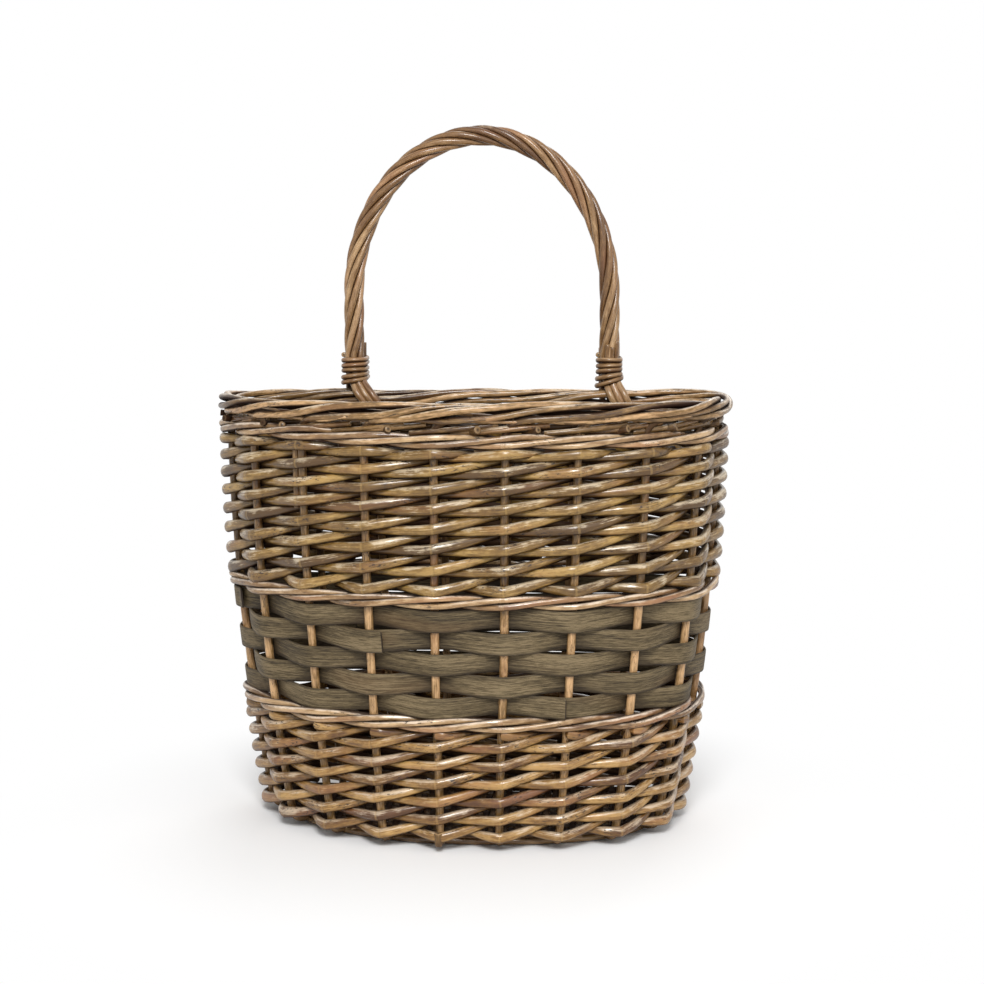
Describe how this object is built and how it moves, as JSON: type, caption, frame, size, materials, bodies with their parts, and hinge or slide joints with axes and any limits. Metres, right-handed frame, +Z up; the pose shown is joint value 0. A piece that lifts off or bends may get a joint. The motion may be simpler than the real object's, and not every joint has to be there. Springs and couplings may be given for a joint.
{
  "type": "hanging willow basket",
  "caption": "D-shaped woven willow basket with a flat back, a band of flat wood strips and a fixed twisted hoop handle bound to the back rim.",
  "frame": {"origin": "middle of the bounding box, on the surface that the basket stands on", "axes": "+Z up, the flat back faces +Y, the round front faces -Y, +X to the right seen from the front"},
  "size_m": [0.3104, 0.1526, 0.4171],
  "materials": {
    "stake_willow": "matt willow rod, warm brown",
    "weaver_willow": "matt willow rod, olive brown with a pale washed bloom",
    "wale_willow": "matt thin willow rod, warm pink brown",
    "strip_wood": "flat split wood, dark grey brown with fine grain",
    "handle_willow": "willow rod with a low sheen, tan brown",
    "binding_willow": "thin willow rod, tan brown",
    "base_willow": "woven willow, brown"
  },
  "bodies": {
    "root": {"woven_base": "base_willow", "stake_01": "stake_willow", "stake_02": "stake_willow", "stake_03": "stake_willow", "stake_04": "stake_willow", "stake_05": "stake_willow", "stake_06": "stake_willow", "stake_07": "stake_willow", "stake_08": "stake_willow", "stake_09": "stake_willow", "stake_10": "stake_willow", "stake_11": "stake_willow", "stake_12": "stake_willow", "stake_13": "stake_willow", "stake_14": "stake_willow", "stake_15": "stake_willow", "stake_16": "stake_willow", "stake_17": "stake_willow", "stake_18": "stake_willow", "lower_weaver_1": "weaver_willow", "lower_weaver_2": "weaver_willow", "upper_weaver_1": "weaver_willow", "upper_weaver_2": "weaver_willow", "low_wale_rod_1": "wale_willow", "low_wale_rod_2": "wale_willow", "low_wale_rod_3": "wale_willow", "mid_wale_rod_1": "wale_willow", "mid_wale_rod_2": "wale_willow", "mid_wale_rod_3": "wale_willow", "rim_wale_rod_1": "wale_willow", "rim_wale_rod_2": "wale_willow", "rim_wale_rod_3": "wale_willow", "wood_strip_1": "strip_wood", "wood_strip_2": "strip_wood", "wood_strip_3": "strip_wood", "wood_strip_4": "strip_wood", "wood_strip_5": "strip_wood", "handle_core": "handle_willow", "handle_strand_1": "handle_willow", "handle_strand_2": "handle_willow", "handle_strand_3": "handle_willow", "handle_strand_4": "handle_willow", "handle_strand_5": "handle_willow", "handle_strand_6": "handle_willow", "left_binding": "binding_willow", "right_binding": "binding_willow"}
  },
  "joints": []
}
